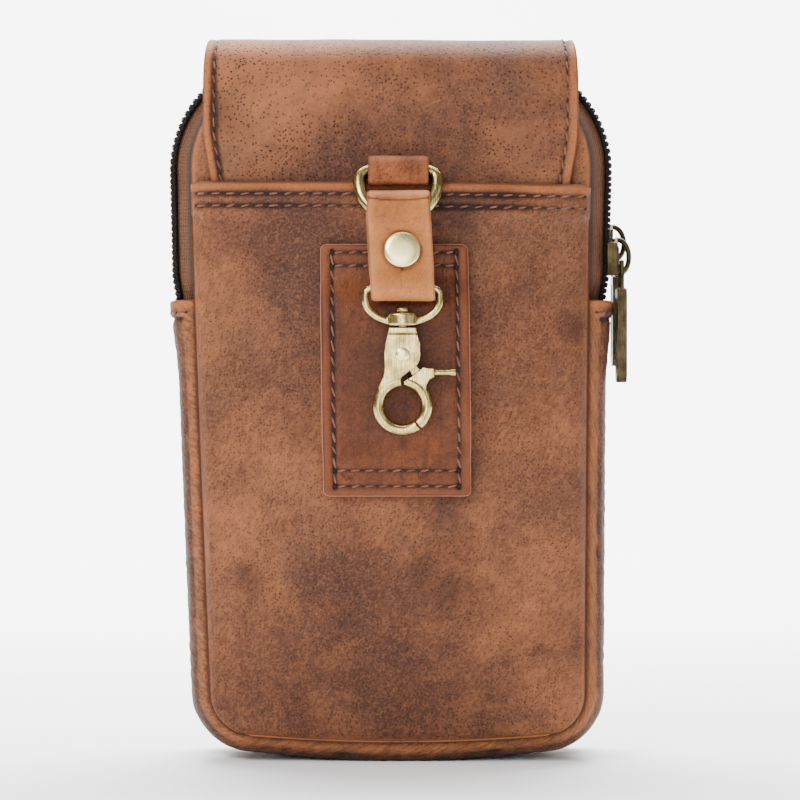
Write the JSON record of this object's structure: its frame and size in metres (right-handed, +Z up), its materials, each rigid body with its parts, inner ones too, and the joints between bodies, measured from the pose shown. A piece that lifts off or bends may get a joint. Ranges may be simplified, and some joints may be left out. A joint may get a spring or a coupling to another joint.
{
  "type": "phone belt bag",
  "caption": "Upright leather belt pouch for a phone: zipped lobes, a flap, a slip pocket, a belt loop, and a swivel snap hook on a short strap.",
  "frame": {"origin": "middle of the whole width and depth, hardware included, on the surface that the base stands on", "axes": "+Z up, -Y toward the belt side with the belt loop and the hook, +X to the right when the belt side is seen"},
  "size_m": [0.1216, 0.0613, 0.1889],
  "materials": {
    "brown_leather": "waxed vintage leather with a fine pebble grain and darker rubbed clouds",
    "dark_leather": "oiled red-brown leather with dark streaks and burnished edges",
    "tan_leather": "light tan strap leather, smooth, with dyed edges",
    "lining_leather": "plain dark inside leather",
    "zip_cloth": "brown woven zip tape",
    "zip_coil": "dark brown nylon coil",
    "antique_brass": "brushed antique brass, pale on the raised edges and dark in the recesses",
    "dark_brass": "dark antique brass with rubbed bright edges"
  },
  "bodies": {
    "bag": {"back_panel": "brown_leather", "front_panel": "brown_leather", "divider_panel": "lining_leather", "back_pocket": "brown_leather", "gusset_rear": "brown_leather", "gusset_front": "brown_leather", "zip_tape_rear_outer": "zip_cloth", "zip_tape_rear_inner": "zip_cloth", "zip_tape_front_outer": "zip_cloth", "zip_tape_front_inner": "zip_cloth", "zip_coil_rear": "zip_coil", "zip_coil_front": "zip_coil", "slider_rear": "dark_brass", "slider_front": "dark_brass", "flap": "brown_leather", "belt_loop": "dark_leather", "d_ring_tab": "tan_leather", "d_ring": "antique_brass", "hanger_strap": "tan_leather", "rivet": "antique_brass", "swivel_eye": "antique_brass"},
    "hook": {"hook_body": "antique_brass", "hook_pin": "antique_brass"},
    "gate": {"hook_gate": "antique_brass"},
    "pull_rear": {"pull_tab_rear": "dark_brass"},
    "pull_front": {"pull_tab_front": "dark_brass"}
  },
  "joints": [
    {"name": "hook_swivel", "type": "hinge", "parent": "bag", "child": "hook", "pos_m": [0.00065, -0.0276, 0.112], "axis": [0, 0, 1], "range_deg": [-12, 7]},
    {"name": "gate_hinge", "type": "hinge", "parent": "hook", "child": "gate", "pos_m": [0.00065, -0.0276, 0.1055], "axis": [0, -1, 0], "range_deg": [0, 27], "stiffness_Nm_per_rad": 0.01, "springref_deg": -34.38},
    {"name": "pull_rear_hinge", "type": "hinge", "parent": "bag", "child": "pull_rear", "pos_m": [0.05801, 0.0001, 0.1301], "axis": [0, -1, 0], "range_deg": [0, 150]},
    {"name": "pull_front_hinge", "type": "hinge", "parent": "bag", "child": "pull_front", "pos_m": [0.05811, 0.0177, 0.1346], "axis": [0, -1, 0], "range_deg": [0, 150]}
  ]
}
